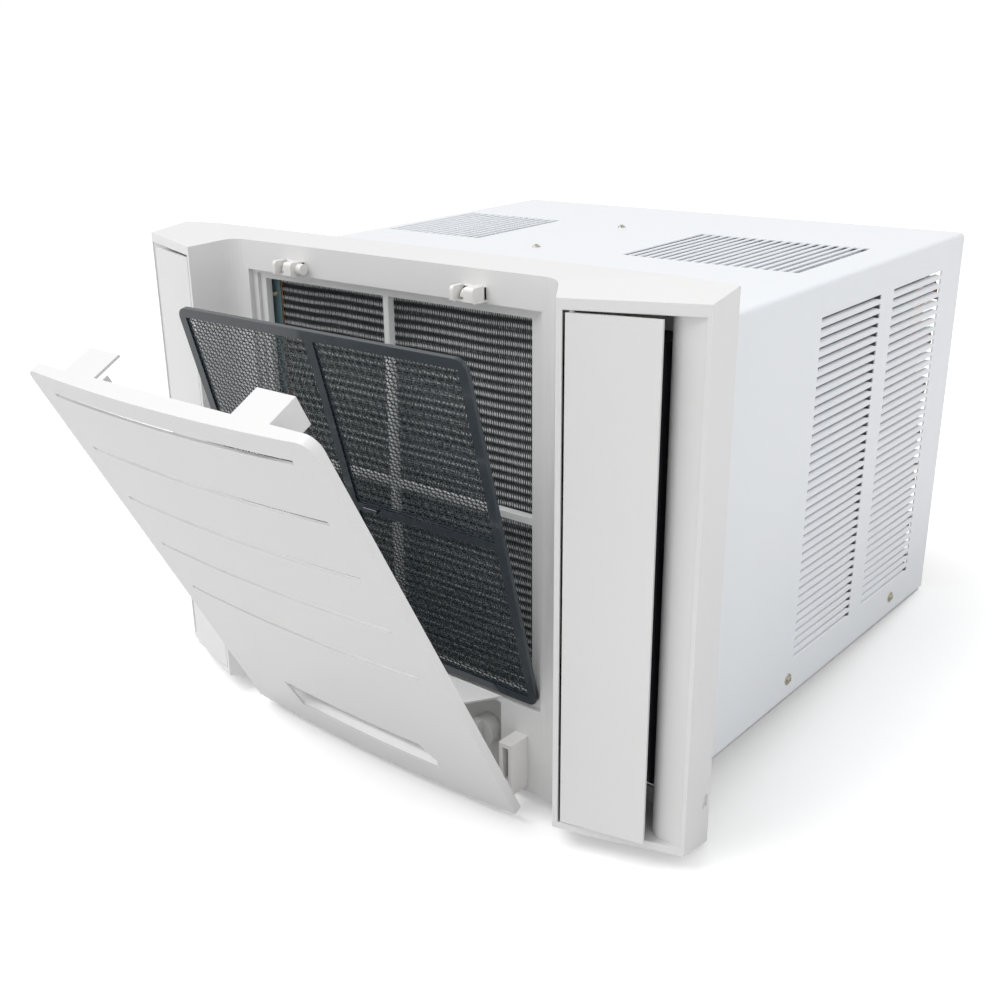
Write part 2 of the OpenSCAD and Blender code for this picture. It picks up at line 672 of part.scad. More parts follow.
module compressor() color([0.12, 0.12, 0.13]) translate([comp_at[0], comp_at[1], 0]) {
  rod_z(0, 0, [24, 218], 54);
  rod_z(0, 0, [216, 226], 46);
  rod_z(0, 0, [224, 232], 14);
  difference() {
    for (i = [0:2]) rotate([0, 0, 90 + i * 120]) box([-14, 14], [40, 74], [20, 24]);
    for (i = [0:2]) rotate([0, 0, 90 + i * 120]) rod_z(0, 66, [19, 25], 4.2);
  }
  rod_z(0, 0, [20, 25], 50);
}
module accumulator() color([0.15, 0.15, 0.16]) translate([accu_at[0], accu_at[1], 0]) {
  rotate([0, 0, atan2(comp_at[1] - accu_at[1], comp_at[0] - accu_at[0])]) box([20, 30], [-8, 8], [118, 130]);
  rod_z(0, 0, [60, 185], 24);
  rod_z(0, 0, [52, 60], 16);
  rod_z(0, 0, [185, 192], 16);
}
module comp_feet() {
  translate([comp_at[0], comp_at[1], 0])
    for (i = [0:2]) rotate([0, 0, 90 + i * 120]) translate([0, 66, 0]) children();
}
module compressor_grommets() color([0.1, 0.1, 0.1]) comp_feet() difference() {
  union() {
    rod_z(0, 0, [pan_t, 20], 11);
    rod_z(0, 0, [19, 27], 4.2);
    rod_z(0, 0, [24, 27], 9);
  }
  rod_z(0, 0, [0, 30], 3);
}
module compressor_bolts() color("silver") comp_feet() {
  rod_z(0, 0, [pan_t, 32], 3);
  translate([0, 0, 27]) cylinder(r = 6.5, h = 4, $fn = 6);
}
module suction_pipe() color("peru")
  pipe([[-149.5, -2, 84], [-176, -2, 84], [-176, -2, 14], [-176, 180, 14], [-176, 215, 60], [-216, 260, 212],
        [-216, 352, 212], [-216, 352, 192]], 4.5, 9);
module discharge_pipe() color("peru")
  pipe([[-150, 300, 232], [-150, 300, 270], [-150, 400, 270], [-262, 425, 270], [-262, 501, 270],
        [-251.5, 501, 270]], 3.5, 5);

// Route of the capillary: condenser, four turns of coil, under the blower housing, evaporator
function capillary_route() = concat(
  [[-251.5, 501, 62], [-262, 501, 62], [-264, 490, 62], [-264, 250, 62]],
  [for (i = [2:50]) [-240 - 16 * cos(i * 30), 230 + 16 * sin(i * 30), 62 - i]],
  [[-230, 208, 10], [-196, 180, 10], [-196, 5, 10], [-196, -2, 16], [-196, -2, 96], [-190, -2, 104],
   [-149.5, -2, 104]]);
module capillary_tube() color("peru") swept(capillary_route(), 1.6, 8);

module cord_gland() color([0.12, 0.12, 0.12]) difference() {
  union() {
    rod_x([-half_w - 8, -half_w], inlet[0], inlet[1], 12);
    rod_x([-half_w - 0.1, -half_w + 14], inlet[0], inlet[1], 7.9);
  }
  rod_x([-half_w - 10, -half_w + 16], inlet[0], inlet[1], 4);
}
module drain_spigot() color([0.2, 0.2, 0.2]) difference() {
  union() {
    rod_y(-120, [pan_back, pan_back + 3], 12, 10.5);
    rod_y(-120, [pan_back - pan_t - 3, pan_back + 24], 12, 6.9);
  }
  rod_y(-120, [pan_back - 10, pan_back + 30], 12, 5);
}

base_pan();
case_top_panel();
case_left();
case_right();
rear_guard();
side_screws();
top_screws();
fascia();
intake_grid();
filter_frame();
filter_mesh();
grille_panel();
hinge_bracket_left();
hinge_bracket_right();
latch_left();
latch_right();
flap_left();
flap_right();
duct_left();
duct_right();
vane_left_1();
vane_left_2();
vane_left_3();
vane_right_1();
vane_right_2();
vane_right_3();
link_left();
link_right();
control_plate();
control_box();
knob_mode();
knob_thermostat();
mode_switch();
thermostat();
vent_lever();
capacitor();
evaporator_fins();
evaporator_tubes();
drip_tray();
blower_housing();
blower_scroll();
blower_wheel();
fan_shaft();
axial_fan();
fan_motor();
motor_stand();
bulkhead();
condenser_fins();
condenser_tubes();
condenser_shroud();
compressor();
accumulator();
compressor_grommets();
compressor_bolts();
top_brace();
suction_pipe();
discharge_pipe();
capillary_tube();
cord_gland();
drain_spigot();
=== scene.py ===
"""Window air conditioner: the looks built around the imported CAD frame.

Lengths are metres in the frame of the CAD model: X across the unit, Y from the room to outdoors, Z up.
"""

import json
from math import atan2, cos, pi, radians, sin

import bmesh
import bpy
from mathutils import Euler, Matrix, Vector


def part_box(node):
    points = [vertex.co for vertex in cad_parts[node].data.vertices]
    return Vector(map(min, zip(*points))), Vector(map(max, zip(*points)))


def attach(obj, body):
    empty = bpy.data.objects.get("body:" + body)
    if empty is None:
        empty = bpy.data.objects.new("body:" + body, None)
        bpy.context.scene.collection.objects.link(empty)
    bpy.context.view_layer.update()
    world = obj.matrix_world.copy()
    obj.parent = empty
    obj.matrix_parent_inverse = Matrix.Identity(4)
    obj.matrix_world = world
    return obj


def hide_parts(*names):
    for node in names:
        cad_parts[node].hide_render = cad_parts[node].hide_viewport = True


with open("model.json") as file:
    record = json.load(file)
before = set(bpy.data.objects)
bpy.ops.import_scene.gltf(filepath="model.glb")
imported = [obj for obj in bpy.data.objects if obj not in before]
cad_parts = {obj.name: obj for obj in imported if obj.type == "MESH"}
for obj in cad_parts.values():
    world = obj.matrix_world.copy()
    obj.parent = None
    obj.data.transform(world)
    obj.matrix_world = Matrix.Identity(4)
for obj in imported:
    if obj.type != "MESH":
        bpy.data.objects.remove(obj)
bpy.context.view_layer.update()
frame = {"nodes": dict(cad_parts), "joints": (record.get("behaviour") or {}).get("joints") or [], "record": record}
MM = 0.001


# ---------------------------------------------------------------- materials
class Finish:
    """One procedural material: a Principled shader with its colour, roughness and bump driven by noise."""

    def __init__(self, name, colour, rough, metallic=0.0, coat=0.0, specular=0.5):
        self.material = bpy.data.materials.new(name)
        self.material.use_nodes = True
        self.tree = self.material.node_tree
        self.shader = self.tree.nodes["Principled BSDF"]
        self.shader.inputs["Base Color"].default_value = (*colour, 1.0)
        self.shader.inputs["Roughness"].default_value = rough
        self.shader.inputs["Metallic"].default_value = metallic
        self.shader.inputs["Coat Weight"].default_value = coat
        self.shader.inputs["Coat Roughness"].default_value = 0.08
        self.shader.inputs["Specular IOR Level"].default_value = specular
        self.place = self.tree.nodes.new("ShaderNodeTexCoord").outputs["Object"]
        self.height = None

    def stretched(self, scale):
        """Object coordinates, stretched by scale along X, Y and Z."""
        node = self.tree.nodes.new("ShaderNodeMapping")
        node.inputs["Scale"].default_value = scale
        self.tree.links.new(self.place, node.inputs["Vector"])
        return node.outputs["Vector"]

    def noise(self, scale, detail=3.0, rough=0.5, vector=None):
        node = self.tree.nodes.new("ShaderNodeTexNoise")
        node.inputs["Scale"].default_value = scale
        node.inputs["Detail"].default_value = detail
        node.inputs["Roughness"].default_value = rough
        self.tree.links.new(vector or self.place, node.inputs["Vector"])
        return node.outputs["Fac"]

    def cells(self, scale):
        """Distance to the nearest cell's point, and that cell's own random colour."""
        node = self.tree.nodes.new("ShaderNodeTexVoronoi")
        node.inputs["Scale"].default_value = scale
        self.tree.links.new(self.place, node.inputs["Vector"])
        return node.outputs["Distance"], node.outputs["Color"]

    def ramp(self, value, low, high, start=0.3, end=0.7):
        """Maps a 0..1 value onto low..high, which are numbers or colours."""
        node = self.tree.nodes.new("ShaderNodeMapRange")
        node.inputs["From Min"].default_value = start
        node.inputs["From Max"].default_value = end
        self.tree.links.new(value, node.inputs["Value"])
        if isinstance(low, (int, float)):
            node.inputs["To Min"].default_value = low
            node.inputs["To Max"].default_value = high
            return node.outputs["Result"]
        mix = self.tree.nodes.new("ShaderNodeMix")
        mix.data_type = "RGBA"
        self.tree.links.new(node.outputs["Result"], mix.inputs["Factor"])
        mix.inputs["A"].default_value = (*low, 1.0)
        mix.inputs["B"].default_value = (*high, 1.0)
        return mix.outputs["Result"]

    def tint(self, value, low, high, start=0.3, end=0.7):
        self.tree.links.new(self.ramp(value, low, high, start, end), self.shader.inputs["Base Color"])
        return self

    def gloss(self, value, low, high, start=0.3, end=0.7):
        self.tree.links.new(self.ramp(value, low, high, start, end), self.shader.inputs["Roughness"])
        return self

    def bump(self, value, depth):
        """Adds relief of this depth in metres."""
        node = self.tree.nodes.new("ShaderNodeBump")
        node.inputs["Distance"].default_value = depth
        self.tree.links.new(value, node.inputs["Height"])
        if self.height:
            self.tree.links.new(self.height, node.inputs["Normal"])
        self.height = node.outputs["Normal"]
        self.tree.links.new(self.height, self.shader.inputs["Normal"])
        return self


def shade(colour, factor):
    return tuple(min(1.0, c * factor) for c in colour)


def case_paint():
    white = (0.84, 0.865, 0.90)
    f = Finish("case_paint", white, 0.3, coat=0.3)
    f.tint(f.noise(6, 4), shade(white, 0.994), white)
    f.gloss(f.noise(40, 4), 0.29, 0.32)
    return f.bump(f.noise(260, 2), 0.000003).bump(f.noise(7, 1), 0.00003).material


def moulded(name, colour, rough, coat=0.3, grain=260, depth=0.000003):
    """Injection-moulded plastic: fine grain, faint sink marks and slight mottling."""
    f = Finish(name, colour, rough, coat=coat)
    f.tint(f.noise(6, 4), shade(colour, 0.994), colour)
    f.gloss(f.noise(12, 1), rough, rough + 0.02)
    return f.bump(f.noise(grain, 2), depth).bump(f.noise(8, 1), 0.00002).material


def galvanised():
    f = Finish("galvanised", (0.62, 0.63, 0.64), 0.38, metallic=0.85)
    _, patch = f.cells(70)
    split = f.tree.nodes.new("ShaderNodeSeparateColor")
    f.tree.links.new(patch, split.inputs["Color"])
    f.tint(split.outputs["Red"], (0.55, 0.57, 0.58), (0.70, 0.71, 0.71), 0.0, 1.0)
    f.gloss(split.outputs["Green"], 0.30, 0.48, 0.0, 1.0)
    return f.bump(f.noise(300, 3), 0.00004).material


def yellow_zinc():
    f = Finish("yellow_zinc", (0.55, 0.52, 0.42), 0.3, metallic=1.0)
    f.tint(f.noise(220, 4), (0.50, 0.49, 0.44), (0.62, 0.57, 0.42))
    return f.gloss(f.noise(500, 3), 0.2, 0.42).bump(f.noise(900, 2), 0.00005).material


def brushed_steel():
    f = Finish("bare_steel", (0.58, 0.58, 0.60), 0.3, metallic=1.0)
    lines = f.noise(60, 4, 0.6, f.stretched((1, 40, 40)))
    f.tint(lines, (0.48, 0.48, 0.50), (0.68, 0.68, 0.70))
    return f.gloss(lines, 0.2, 0.42).bump(lines, 0.00003).material


def fin_stock():
    f = Finish("fin_aluminium", (0.86, 0.88, 0.88), 0.34, metallic=0.25)
    f.tint(f.noise(90, 4, 0.6, f.stretched((0.15, 0.3, 1))), (0.70, 0.73, 0.73), (0.93, 0.95, 0.95))
    return f.gloss(f.noise(300, 3), 0.25, 0.45).bump(f.noise(1200, 2), 0.00002).material


def copper():
    f = Finish("copper", (0.72, 0.40, 0.26), 0.28, metallic=1.0)
    f.tint(f.noise(35, 5, 0.6), (0.50, 0.26, 0.17), (0.80, 0.47, 0.31))
    return f.gloss(f.noise(90, 4), 0.2, 0.45).bump(f.noise(500, 2), 0.00004).material


def foam():
    white = (0.82, 0.82, 0.80)
    f = Finish("foam_beads", white, 0.75)
    distance, _ = f.cells(330)
    f.tint(distance, white, shade(white, 0.86), 0.3, 0.9)
    return f.bump(distance, 0.0002).material


def dark_paint():
    f = Finish("black_paint", (0.03, 0.03, 0.033), 0.35, coat=0.3)
    f.tint(f.noise(18, 5), (0.022, 0.022, 0.025), (0.05, 0.05, 0.052))
    return f.gloss(f.noise(50, 4), 0.28, 0.5).bump(f.noise(500, 3), 0.00006).material


def rubber():
    f = Finish("rubber", (0.035, 0.035, 0.035), 0.7)
    f.tint(f.noise(120, 4), (0.025, 0.025, 0.025), (0.06, 0.06, 0.058))
    return f.bump(f.noise(900, 3), 0.00008).material


def net_thread():
    f = Finish("filter_thread", (0.02, 0.03, 0.04), 0.25, coat=0.5)
    f.tint(f.noise(60, 5, 0.7), (0.014, 0.022, 0.03), (0.035, 0.05, 0.06))
    return f.bump(f.noise(2500, 2), 0.00005).material


def floor_white():
    """A white sweep: as bright as paper to the camera, and dimmer as a reflector under the unit."""
    f = Finish("floor_white", (0.98, 0.98, 0.98), 0.8, specular=0.0)
    seen = f.tree.nodes.new("ShaderNodeLightPath").outputs["Is Camera Ray"]
    f.tint(seen, (0.7, 0.7, 0.7), (0.98, 0.98, 0.98), 0.0, 1.0)
    f.shader.inputs["Emission Color"].default_value = (1.0, 1.0, 1.0, 1.0)
    f.tree.links.new(f.ramp(seen, 0.0, 0.22, 0.0, 1.0), f.shader.inputs["Emission Strength"])
    return f.material


FINISHES = {
    "case_paint": case_paint(),
    "fascia_plastic": moulded("fascia_plastic", (0.78, 0.78, 0.778), 0.31),
    "bracket_plastic": moulded("bracket_plastic", (0.80, 0.79, 0.77), 0.38, coat=0.1),
    "control_plastic": moulded("control_plastic", (0.66, 0.66, 0.65), 0.4, coat=0.1),
    "filter_plastic": moulded("filter_plastic", (0.007, 0.018, 0.028), 0.2, coat=0.8),
    "duct_plastic": moulded("duct_plastic", (0.03, 0.03, 0.034), 0.5, coat=0.0),
    "fan_plastic": moulded("fan_plastic", (0.05, 0.05, 0.055), 0.5, coat=0.0),
    "motor_grey": moulded("motor_grey", (0.22, 0.23, 0.24), 0.4, coat=0.2),
    "zinc": galvanised(),
    "screw_zinc": yellow_zinc(),
    "steel": brushed_steel(),
    "fins": fin_stock(),
    # Painted shade: this dark grey on the fins' sides and the block behind them stands in for the shadow between
    # real fins, which are aluminium all through
    "fin_painted_shade": moulded("fin_painted_shade", (0.13, 0.14, 0.145), 0.5, coat=0.0),
    "copper": copper(),
    "foam": foam(),
    "black_paint": dark_paint(),
    "rubber": rubber(),
    "filter_net": net_thread(),
    "teal_paint": moulded("teal_paint", (0.10, 0.17, 0.18), 0.4, coat=0.2),
}


def paint(obj, finish):
    obj.data.materials.clear()
    obj.data.materials.append(FINISHES[finish])
    return obj


# ---------------------------------------------------------------- mesh helpers
def piece(name, bm, finish, body, replaced=(), smooth=None):
    """Makes a named object from a bmesh, paints it and lets it ride on a body."""
    mesh = bpy.data.meshes.new(name)
    bmesh.ops.recalc_face_normals(bm, faces=bm.faces)
    bm.to_mesh(mesh)
    bm.free()
    obj = bpy.data.objects.new(name, mesh)
    bpy.context.scene.collection.objects.link(obj)
    paint(obj, finish)
    if smooth:
        mesh.shade_smooth()
        mesh.set_sharp_from_angle(angle=radians(smooth))
    if replaced:
        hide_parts(*replaced)
    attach(obj, body)
    return obj


def add_box(bm, x, y, z, matrix=None):
    corners = [bm.verts.new((i, j, k)) for i in x for j in y for k in z]
    for quad in ((0, 1, 3, 2), (4, 6, 7, 5), (0, 4, 5, 1), (2, 3, 7, 6), (0, 2, 6, 4), (1, 5, 7, 3)):
        bm.faces.new([corners[i] for i in quad])
    if matrix:
        for v in corners:
            v.co = matrix @ v.co
    return corners


def add_prism(bm, outline, start, end):
    """A prism whose outline is a list of points and whose ends are offset by the vectors start and end."""
    low = [bm.verts.new(Vector(p) + Vector(start)) for p in outline]
    high = [bm.verts.new(Vector(p) + Vector(end)) for p in outline]
    n = len(outline)
    bm.faces.new(low)
    bm.faces.new(high[::-1])
    for i in range(n):
        bm.faces.new((low[i], low[(i + 1) % n], high[(i + 1) % n], high[i]))


def add_tube(bm, points, radius, sides=8):
    """A round bar along a polyline."""
    points = [Vector(p) for p in points]
    rings = []
    for i, p in enumerate(points):
        along = (points[min(i + 1, len(points) - 1)] - points[max(i - 1, 0)]).normalized()
        side = along.orthogonal().normalized()
        if rings:
            side = (previous - along * previous.dot(along)).normalized()
        previous = side
        up = along.cross(side)
        spokes = [cos(2 * pi * k / sides) * side + sin(2 * pi * k / sides) * up for k in range(sides)]
        rings.append([bm.verts.new(p + radius * spoke) for spoke in spokes])
    for a, b in zip(rings, rings[1:]):
        for k in range(sides):
            bm.faces.new((a[k], a[(k + 1) % sides], b[(k + 1) % sides], b[k]))
    bm.faces.new(rings[0][::-1])
    bm.faces.new(rings[-1])


def soften(node, width, segments=3, angle=35):
    """Rounds the edges of a CAD node as the real moulding or folded sheet has them."""
    obj = frame["nodes"][node]
    weld = obj.modifiers.new("weld", "WELD")
    weld.merge_threshold = 0.00002
    bevel = obj.modifiers.new("bevel", "BEVEL")
    bevel.width = width
    bevel.segments = segments
    bevel.limit_method = "ANGLE"
    bevel.angle_limit = radians(angle)
    bevel.use_clamp_overlap = True
    bevel.miter_outer = "MITER_ARC"
    normals = obj.modifiers.new("normals", "WEIGHTED_NORMAL")
    normals.weight = 100
    normals.keep_sharp = True
    return obj


# ---------------------------------------------------------------- carried-over CAD nodes
SLOT_OF = {entry["node"]: entry["material_slot"] for entry in frame["record"]["subparts"]}
for node, obj in frame["nodes"].items():
    paint(obj, SLOT_OF[node])

# ---------------------------------------------------------------- pressed louvres in the case
_, case_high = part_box("case_top_panel")
SIDE_COLUMNS = ((210.2 * MM, 332.1 * MM), (360.9 * MM, 476.9 * MM))
SIDE_ROWS = 38
SIDE_LOW = 40.9 * MM
SIDE_HIGH = 369.6 * MM
SIDE_OPEN = 4.8 * MM
BLADE_IN = 2.4 * MM            # how far a side blade's upper edge is pressed in
BLADE_CUT = 9 * MM             # length that the pressed edge loses at the rear
BLADE_COVER = 0.45             # share of a side opening's height that its blade covers
BLADE_BULGE = 0.4 * MM
END_PLAY = 0.2 * MM            # gap between a blade's end and the end of its opening
SKIN_SINK = 0.02 * MM          # keeps a flush edge just inside the case's face
TOP_GRILLES = (                # first slot's X, pitch, slots and the two ends in Y, in millimetres
    (57.7, 9.89, 19, 236, 388),
    (-261.8, 10.37, 13, 242, 392),
)
TOP_BLADE_X = (6.7 * MM, 0.3 * MM)    # the flush and the pressed edge, from the slot's first side
TOP_BLADE_Z = (2.82 * MM, 8.0 * MM)   # and how far each lies under the top of the case


def add_blade(bm, flush, pressed, along, length, out, cut=0.0, thick=0.9 * MM):
    """A curved louvre blade from a flush edge to an edge pressed inwards. out is the sheet's outward normal.

    The pressed edge ends cut earlier than the flush one.
    """
    steps = 4
    outer = []
    for i in range(steps + 1):
        t = i / steps
        outer.append((flush.lerp(pressed, t) + out * (BLADE_BULGE * sin(pi * t)), t))
    section = outer + [(p - out * thick, t) for p, t in reversed(outer)]
    low = [bm.verts.new(p) for p, _ in section]
    high = [bm.verts.new(p + along * (length - cut * t)) for p, t in section]
    bm.faces.new(low[::-1])
    bm.faces.new(high)
    for i in range(len(section)):
        j = (i + 1) % len(section)
        bm.faces.new((low[i], low[j], high[j], high[i]))


def side_louvres():
    bm = bmesh.new()
    step = (SIDE_HIGH - SIDE_LOW - SIDE_OPEN) / (SIDE_ROWS - 1)
    for side in (-1, 1):
        out = Vector((side, 0, 0))
        for y0, y1 in SIDE_COLUMNS:
            for row in range(SIDE_ROWS):
                z = SIDE_LOW + row * step
                flush = Vector((side * (case_high.x - SKIN_SINK), y0 + END_PLAY, z - 0.1 * MM))
                pressed_z = z + BLADE_COVER * SIDE_OPEN
                pressed = Vector((side * (case_high.x - BLADE_IN), y0 + END_PLAY, pressed_z))
                add_blade(bm, flush, pressed, Vector((0, 1, 0)), y1 - y0 - 2 * END_PLAY, out, BLADE_CUT)
    return piece("side_louvres", bm, "case_paint", "chassis", smooth=40)


def top_louvres():
    bm = bmesh.new()
    flush_z, pressed_z = (case_high.z - depth for depth in TOP_BLADE_Z)
    for first, pitch, count, y0, y1 in TOP_GRILLES:
        for i in range(count):
            x = (first + i * pitch) * MM
            flush = Vector((x + TOP_BLADE_X[0], y0 * MM, flush_z))
            pressed = Vector((x + TOP_BLADE_X[1], y0 * MM, pressed_z))
            add_blade(bm, flush, pressed, Vector((0, 1, 0)), (y1 - y0) * MM, Vector((0, 0, 1)))
    return piece("top_louvres", bm, "case_paint", "chassis", smooth=40)


side_louvres()
top_louvres()


# ---------------------------------------------------------------- heat exchangers
FIN_PITCH = 1.9 * MM
FIN_BAND = 7.7 * MM            # height of one wave of a fin's edge
FIN_STEPS = 6                  # mesh rows in one wave
FIN_MARGIN = 1.2 * MM          # first fin from the end of the pack
FIN_DEPTH = 7 * MM             # a fin's side, as far back as the dark block of painted shade behind it


def fin_pack(name, node, tube_rows, tube_radius, tube_y):
    """Thin fins with wavy front lips on tubes, in the space of the CAD block.

    The lips are bright metal. The fins' sides and the core behind them are dark, standing in for the shade
    between real fins.
    """
    low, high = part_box(node)
    bm = bmesh.new()
    shade_core = bmesh.new()
    count = int((high.x - low.x) / FIN_PITCH)
    rows = int(FIN_STEPS * (high.z - low.z) / FIN_BAND)
    for i in range(count + 1):
        x = low.x + FIN_MARGIN + (high.x - low.x - 2 * FIN_MARGIN) * i / count
        lean = 0.2 * MM * sin(i * 1.7) + 0.15 * MM * sin(i * 0.37)
        left, right, front, back = [], [], [], []
        for k in range(rows + 1):
            z = low.z + (high.z - low.z) * k / rows
            crest = 0.5 + 0.5 * cos(2 * pi * k / FIN_STEPS + 0.3 * sin(i * 0.11))
            half = (0.24 + 0.56 * crest * crest) * MM
            y = low.y + (1.6 - 1.1 * crest + 0.25 * sin(i * 0.23 + k * 0.05)) * MM
            left.append(bm.verts.new((x + lean - half, y + 0.5 * MM, z)))
            right.append(bm.verts.new((x + lean + half, y, z)))
            # the fin's side, in the dark grey of painted shade
            front.append(shade_core.verts.new((x + lean, y + 0.6 * MM, z)))
            back.append(shade_core.verts.new((x, low.y + FIN_DEPTH, z)))
        for k in range(rows):
            bm.faces.new((left[k], left[k + 1], right[k + 1], right[k]))
            shade_core.faces.new((front[k], front[k + 1], back[k + 1], back[k]))
    for k in range(tube_rows):
        z = low.z + (high.z - low.z) * (k + 0.5) / tube_rows
        for y in tube_y:
            add_tube(bm, ((low.x, y, z), (high.x, y, z)), tube_radius, 10)
    piece(name, bm, "fins", "chassis", replaced=(node,))
    # the block behind the fins is painted shade: dark grey where real fins would show only shadow
    add_box(shade_core, (low.x, high.x), (low.y + FIN_DEPTH, high.y), (low.z, high.z))
    return piece(name + "_core", shade_core, "fin_painted_shade", "chassis")


evap_low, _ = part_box("evaporator_fins")
fin_pack("evaporator_pack", "evaporator_fins", 14, 5.0 * MM, (evap_low.y + 9 * MM, evap_low.y + 30 * MM))
cond_low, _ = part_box("condenser_fins")
fin_pack("condenser_pack", "condenser_fins", 16, 4.5 * MM, (cond_low.y + 7 * MM, cond_low.y + 21 * MM))


# ---------------------------------------------------------------- filter net
FILTER_LEAN = radians(15.2)
THREAD = 0.62 * MM             # radius of the net's upright threads
THREAD_PITCH = (4.2 * MM, 3.4 * MM)
WINDOW_X = (4.5 * MM, 159.4 * MM)                                # net windows on the filter's right half
WINDOW_Z = ((7.5 * MM, 162.5 * MM), (171.5 * MM, 326.5 * MM))


def filter_place():
    """The leaning filter's frame of reference: origin at its pivot, X across, Z up its face."""
    joint = next(j for j in frame["joints"] if j["name"] == "filter_tilt")
    return Matrix.Translation(joint["pos_m"]) @ Matrix.Rotation(FILTER_LEAN, 4, "X")


def filter_net():
    """Zigzag upright threads over straight level ones, in each of the four windows."""
    bm = bmesh.new()
    place = filter_place()
    for side in (-1, 1):
        x0, x1 = sorted(side * x for x in WINDOW_X)
        for z0, z1 in WINDOW_Z:
            columns = int((x1 - x0) / THREAD_PITCH[0])
            rows = int((z1 - z0) / THREAD_PITCH[1])
            for i in range(columns + 1):
                x = x0 + (x1 - x0) * i / columns
                points = []
                for k in range(rows + 1):
                    z = z0 + (z1 - z0) * k / rows
                    sway = 0.35 * THREAD_PITCH[0] * (1 if (k + i) % 2 else -1)
                    points.append(place @ Vector((min(max(x + sway, x0), x1), 0.25 * MM * (-1) ** k, z)))
                add_tube(bm, points, THREAD, 4)
            for k in range(rows + 1):
                z = z0 + (z1 - z0) * k / rows
                ends = (place @ Vector((x0, 0, z)), place @ Vector((x1, 0, z)))
                add_tube(bm, ends, THREAD * 0.8, 4)
    return piece("filter_net", bm, "filter_net", "filter", replaced=("filter_mesh",))


filter_net()


# ---------------------------------------------------------------- screws
def add_lathe(bm, profile, place, steps=24):
    """Turns a profile of (radius, height) about the local Z axis."""
    rings = []
    for r, h in profile:
        turns = [2 * pi * k / steps for k in range(steps)]
        rings.append([bm.verts.new(place @ Vector((r * cos(a), r * sin(a), h))) for a in turns])
    for a, b in zip(rings, rings[1:]):
        for k in range(steps):
            bm.faces.new((a[k], a[(k + 1) % steps], b[(k + 1) % steps], b[k]))
    bm.faces.new(rings[0][::-1])
    bm.faces.new(rings[-1])


def add_screw(bm, place, r):
    """A flanged pan head of radius r with a cross recess, on a short shank."""
    add_lathe(bm, ((r, 0), (r, 0.5 * MM), (0.93 * r, 0.9 * MM), (0.62 * r, 1.0 * MM)), place)
    dome = ((0.60, 0.9), (0.60, 1.4), (0.52, 2.0), (0.38, 2.25))
    add_lathe(bm, [(k * r, h * MM) for k, h in dome], place)
    for turn in range(4):
        ridge = place @ Matrix.Rotation(turn * pi / 2 + pi / 4, 4, "Z")
        add_box(bm, (0.10 * r, 0.40 * r), (-0.14 * r, 0.14 * r), (2.0 * MM, 2.7 * MM), ridge)
    add_lathe(bm, ((0.3 * r, -6 * MM), (0.3 * r, 0.1 * MM)), place, 12)


def screw_heads(name, node, places, r):
    bm = bmesh.new()
    for place in places:
        add_screw(bm, place, r)
    return piece(name, bm, "screw_zinc", "chassis", replaced=(node,), smooth=30)


CASE_SIDE = 280 * MM
CASE_TOP = 400.3 * MM
side_places = []
for side in (-1, 1):
    for y in (202.9 * MM, 438.6 * MM):
        spot = Matrix.Translation((side * CASE_SIDE, y, 22.6 * MM))
        side_places.append(spot @ Matrix.Rotation(side * pi / 2, 4, "Y"))
screw_heads("case_side_screws", "side_screws", side_places, 5.8 * MM)
top_places = [Matrix.Translation((-41 * MM, y * MM, CASE_TOP)) for y in (229, 383.8)]
screw_heads("case_top_screws", "top_screws", top_places, 4.2 * MM)


# ---------------------------------------------------------------- latches over the intake
def add_plate(bm, outline, x0, x1):
    """A flat plate across X whose outline is a list of (y, z)."""
    add_prism(bm, [(0, y, z) for y, z in outline], (x0, 0, 0), (x1, 0, 0))


def quarter(cy, cz, ry, rz, start, end, steps=7):
    """Points (y, z) of an elliptical arc between two angles in degrees."""
    angles = [radians(start + (end - start) * k / steps) for k in range(steps + 1)]
    return [(cy + ry * cos(a), cz + rz * sin(a)) for a in angles]


LATCH_WIDE = 26 * MM
LATCH_CHEEKS = ((0.5 * MM, 4 * MM), (15 * MM, 10 * MM))    # start and thickness of each cheek along X


